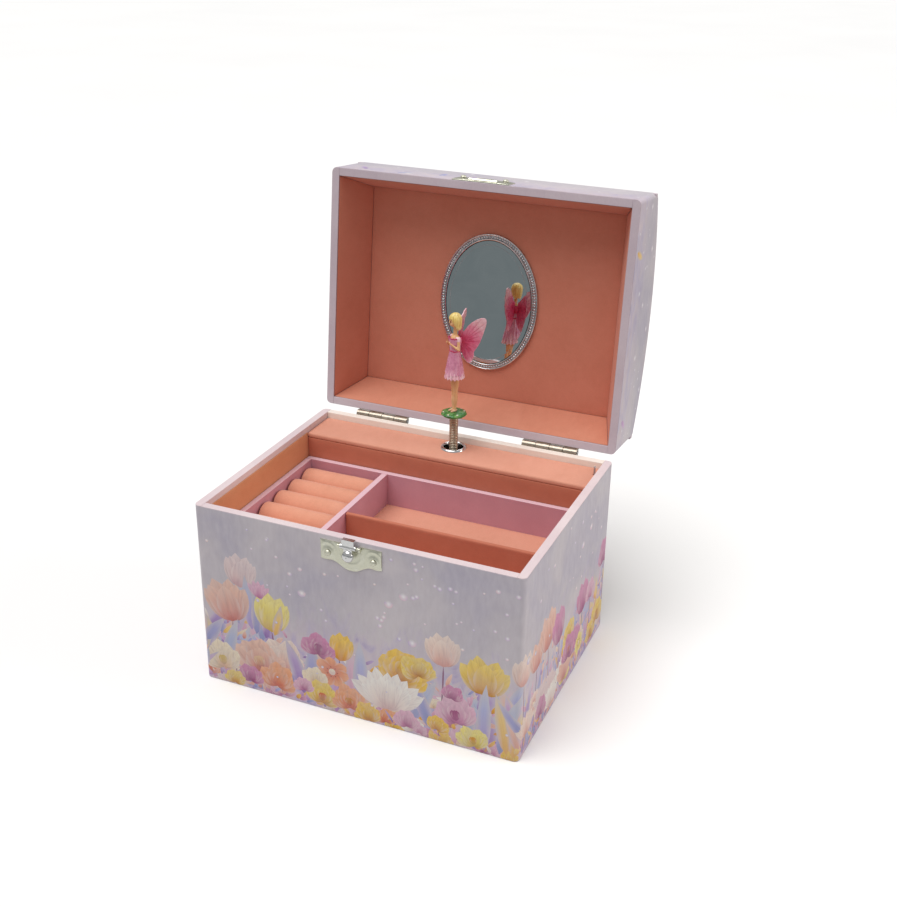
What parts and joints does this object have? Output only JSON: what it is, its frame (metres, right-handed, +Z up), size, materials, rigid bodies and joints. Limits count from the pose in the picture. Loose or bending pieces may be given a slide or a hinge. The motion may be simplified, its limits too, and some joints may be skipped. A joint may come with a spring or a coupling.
{
  "type": "musical jewellery box",
  "caption": "Papered jewellery box with a domed hinged lid and mirror, lift-out tray with ring rolls, and a winged figure on a spring turned by a wind-up musical movement.",
  "frame": {"origin": "middle of the case's flat underside", "axes": "+Z up, -Y towards the front with the catch, +X to the viewer's right; the lid stands open at rest"},
  "size_m": [0.165, 0.1876, 0.2272],
  "materials": {
    "printed_board": "paper-wrapped board with a soft floral print, satin",
    "salmon_flock": "short salmon flock over card",
    "salmon_board": "board covered with salmon flock",
    "salmon_pad": "padded salmon fabric",
    "mauve_board": "board wrapped in mauve paper, matt",
    "plain_wood": "bare softwood",
    "nickel": "bright nickel plate",
    "hinge_metal": "aged nickel plate",
    "chrome": "bright chrome",
    "mirror": "silvered acrylic mirror",
    "mirror_trim": "silvered, beaded plastic rim",
    "spring_steel": "dark spring steel",
    "green_plastic": "painted green, semi gloss",
    "skin_plastic": "moulded plastic, satin",
    "pink_plastic": "painted pink, semi gloss",
    "hair_plastic": "painted blonde, semi gloss",
    "wing_plastic": "tinted clear pink plastic",
    "brass": "machined brass",
    "steel": "bright steel"
  },
  "bodies": {
    "case": {"case_floor": "printed_board", "case_front": "printed_board", "case_back": "printed_board", "case_left": "printed_board", "case_right": "printed_board", "wall_linings": "salmon_flock", "tray_bearers": "plain_wood", "deck_board": "salmon_board", "deck_front_board": "salmon_board", "deck_eyelet": "chrome", "hinge_leaves_box": "hinge_metal", "hinge_pins": "hinge_metal", "hinge_nails_box": "hinge_metal", "catch_plate": "nickel", "catch_nails": "nickel", "catch_pin": "nickel", "movement_frame": "brass", "movement_screws": "steel", "comb_block": "steel", "music_comb": "steel", "comb_screws": "steel", "figure_spring": "spring_steel"},
    "tray": {"tray_walls": "mauve_board", "tray_partition": "mauve_board", "tray_floor": "salmon_board", "tray_divider": "salmon_board", "ring_rolls": "salmon_pad"},
    "lid": {"hinge_leaves_lid": "hinge_metal", "hinge_nails_lid": "hinge_metal", "strike_plate": "nickel", "strike_nails": "nickel", "lid_top": "printed_board", "lid_front_rail": "printed_board", "lid_rear_rail": "printed_board", "lid_end_left": "printed_board", "lid_end_right": "printed_board", "lid_lining_panel": "salmon_board", "lid_lining_sides": "salmon_board", "mirror_rim": "mirror_trim", "mirror_glass": "mirror"},
    "catch": {"catch_lever": "nickel"},
    "post_top": {"spring_collar": "spring_steel"},
    "figure": {"figure_pad": "green_plastic", "figure_body": "skin_plastic", "figure_dress": "pink_plastic", "figure_hair": "hair_plastic", "figure_wings": "wing_plastic"},
    "cylinder": {"music_cylinder": "brass", "cylinder_arbor": "steel", "cylinder_wheel": "brass", "drive_gear": "brass"},
    "spring_drum": {"great_wheel": "brass", "spring_barrel": "brass", "mainspring": "spring_steel"},
    "key": {"winding_arbor": "steel", "winding_key": "steel"},
    "governor": {"governor_wheel": "brass"},
    "fan": {"governor_fan": "steel"},
    "spindle": {"spindle": "steel"},
    "stop": {"stop_wire": "steel"}
  },
  "joints": [
    {"name": "lid_hinge", "type": "hinge", "parent": "case", "child": "lid", "pos_m": [0, 0.0664, 0.096], "axis": [1, 0, 0], "range_deg": [0, 96]},
    {"name": "cylinder_spin", "type": "hinge", "parent": "case", "child": "cylinder", "pos_m": [-0.00865, 0.0495, 0.055], "axis": [0, 0, 1], "continuous": true},
    {"name": "key_wind", "type": "hinge", "parent": "case", "child": "key", "pos_m": [-0.00865, 0.07, 0.026], "axis": [0, 1, 0], "continuous": true},
    {"name": "catch_press", "type": "hinge", "parent": "case", "child": "catch", "pos_m": [0, -0.0666, 0.0936], "axis": [1, 0, 0], "range_deg": [0, 8], "stiffness_Nm_per_rad": 0.02, "springref_deg": -5.73},
    {"name": "tray_lift", "type": "slide", "parent": "case", "child": "tray", "axis": [0, 0, -1], "range_m": [-0.085, 0]},
    {"name": "figure_fold", "type": "hinge", "parent": "case", "child": "post_top", "pos_m": [0, 0.052, 0.101], "axis": [1, 0, 0], "range_deg": [0, 90.5], "deforming": ["figure_spring"]},
    {"name": "figure_spin", "type": "hinge", "parent": "post_top", "child": "figure", "pos_m": [0, 0.052, 0.113], "axis": [0, 0, 1], "continuous": true},
    {"name": "spindle_spin", "type": "hinge", "parent": "case", "child": "spindle", "pos_m": [0, 0.052, 0.08], "axis": [0, 0, 1], "continuous": true},
    {"name": "drum_spin", "type": "hinge", "parent": "case", "child": "spring_drum", "pos_m": [-0.00865, 0.048, 0.026], "axis": [0, 1, 0], "continuous": true},
    {"name": "governor_spin", "type": "hinge", "parent": "case", "child": "governor", "pos_m": [0.0011, 0.04778, 0.066], "axis": [0, 0, 1], "continuous": true},
    {"name": "fan_spin", "type": "hinge", "parent": "case", "child": "fan", "pos_m": [0.0087, 0.04778, 0.06], "axis": [0, 0, 1], "continuous": true},
    {"name": "stop_slide", "type": "slide", "parent": "case", "child": "stop", "axis": [0, 0, -1], "range_m": [0, 0.0031]}
  ],
  "couplings": [
    {"joint": "figure_fold", "follows": "lid_hinge", "ratio": 0.9375},
    {"joint": "stop_slide", "follows": "lid_hinge", "m_per_rad": 0.0017905},
    {"joint": "spindle_spin", "follows": "cylinder_spin", "ratio": -0.66667},
    {"joint": "figure_spin", "follows": "cylinder_spin", "ratio": -0.66667},
    {"joint": "drum_spin", "follows": "cylinder_spin", "ratio": -0.2},
    {"joint": "governor_spin", "follows": "cylinder_spin", "ratio": -3.4},
    {"joint": "fan_spin", "follows": "cylinder_spin", "ratio": 12.75}
  ]
}
